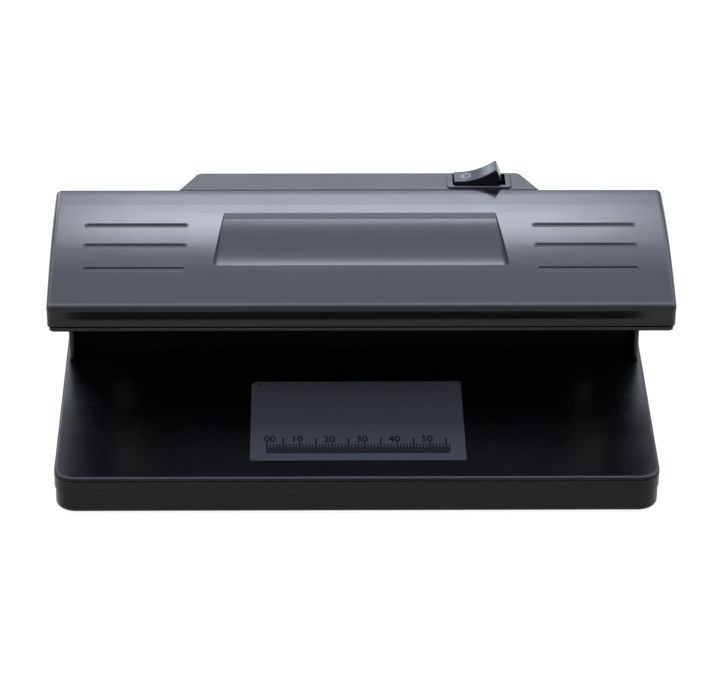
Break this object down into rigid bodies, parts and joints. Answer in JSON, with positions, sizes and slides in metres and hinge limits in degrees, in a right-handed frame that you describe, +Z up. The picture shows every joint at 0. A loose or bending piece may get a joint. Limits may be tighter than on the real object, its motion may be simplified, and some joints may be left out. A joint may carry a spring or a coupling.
{
  "type": "counterfeit bill detector",
  "caption": "Desktop ultraviolet banknote checker: flat base with a ruler label, a rear column and a lamp hood over the viewing space, with a rocker switch.",
  "frame": {"origin": "on the table, under the middle of the body's length and depth", "axes": "+Z up, +X to the user's right, +Y away from the user towards the rear cover"},
  "size_m": [0.1924, 0.106, 0.0682],
  "materials": {
    "black_abs": "fine-textured moulded ABS, semi-gloss",
    "hood_abs": "smooth moulded ABS, soft satin sheen",
    "switch_plastic": "glossy black nylon",
    "ruler_film": "printed polyester film, matt, pale ruler print",
    "rating_film": "blank silvered polyester film",
    "rubber": "matt black rubber",
    "steel": "zinc-plated",
    "reflector_metal": "bright rolled sheet",
    "holder_plastic": "white glass-filled polyester",
    "tube_glass": "phosphor-coated glass, pale violet when off",
    "cap_metal": "drawn aluminium",
    "brass": "plain brass",
    "spring_steel": "spring wire",
    "filament": "tungsten coil",
    "board": "phenolic paper board",
    "ferrite": "sintered ferrite",
    "winding": "taped copper winding",
    "capacitor": "sleeved",
    "semiconductor": "moulded epoxy package",
    "fuse": "glass fuse, metal ends",
    "connector": "white nylon",
    "lead": "PVC insulated wire"
  },
  "bodies": {
    "housing": {"base_bottom_cover": "black_abs", "base_top_plate": "black_abs", "rubber_feet": "rubber", "ruler_label": "ruler_film", "rating_label": "rating_film", "base_screws": "steel", "column_screws": "steel", "column_housing": "black_abs", "column_panel": "black_abs", "panel_screws": "steel", "hood_cover": "hood_abs", "hood_tray": "hood_abs", "hood_screws": "steel", "rear_cover": "hood_abs", "rear_screws": "steel", "cord_gland": "rubber", "lamp_reflector": "reflector_metal", "lamp_holder_left": "holder_plastic", "lamp_holder_right": "holder_plastic", "holder_contacts": "brass", "switch_body": "switch_plastic", "switch_terminals": "brass", "ballast_board": "board", "board_screws": "steel", "ballast_transformer": "ferrite", "transformer_winding": "winding", "ballast_capacitors": "capacitor", "ballast_transistors": "semiconductor", "ballast_fuse": "fuse", "lamp_connector": "connector", "lamp_leads": "lead", "switch_lead": "lead"},
    "tube": {"holder_rotor_left": "holder_plastic", "holder_rotor_right": "holder_plastic", "tube_cap_left": "cap_metal", "tube_cap_right": "cap_metal", "tube_glass": "tube_glass", "tube_pins": "brass", "tube_cathodes": "filament"},
    "rocker": {"switch_rocker": "switch_plastic", "switch_spring": "spring_steel", "switch_plunger": "brass"},
    "contact_lever": {"switch_contact_lever": "brass"}
  },
  "joints": [
    {"name": "tube_turn", "type": "hinge", "parent": "housing", "child": "tube", "pos_m": [0, 0.011, 0.0465], "axis": [1, 0, 0], "range_deg": [0, 90]},
    {"name": "rocker_tilt", "type": "hinge", "parent": "housing", "child": "rocker", "pos_m": [0.0383, 0.04575, 0.062], "axis": [0, 1, 0], "range_deg": [0, 35]},
    {"name": "lever_tilt", "type": "hinge", "parent": "housing", "child": "contact_lever", "pos_m": [0.0383, 0.04575, 0.0533], "axis": [0, 1, 0], "range_deg": [-16, 0]}
  ],
  "couplings": [
    {"joint": "lever_tilt", "follows": "rocker_tilt", "ratio": -0.457}
  ]
}
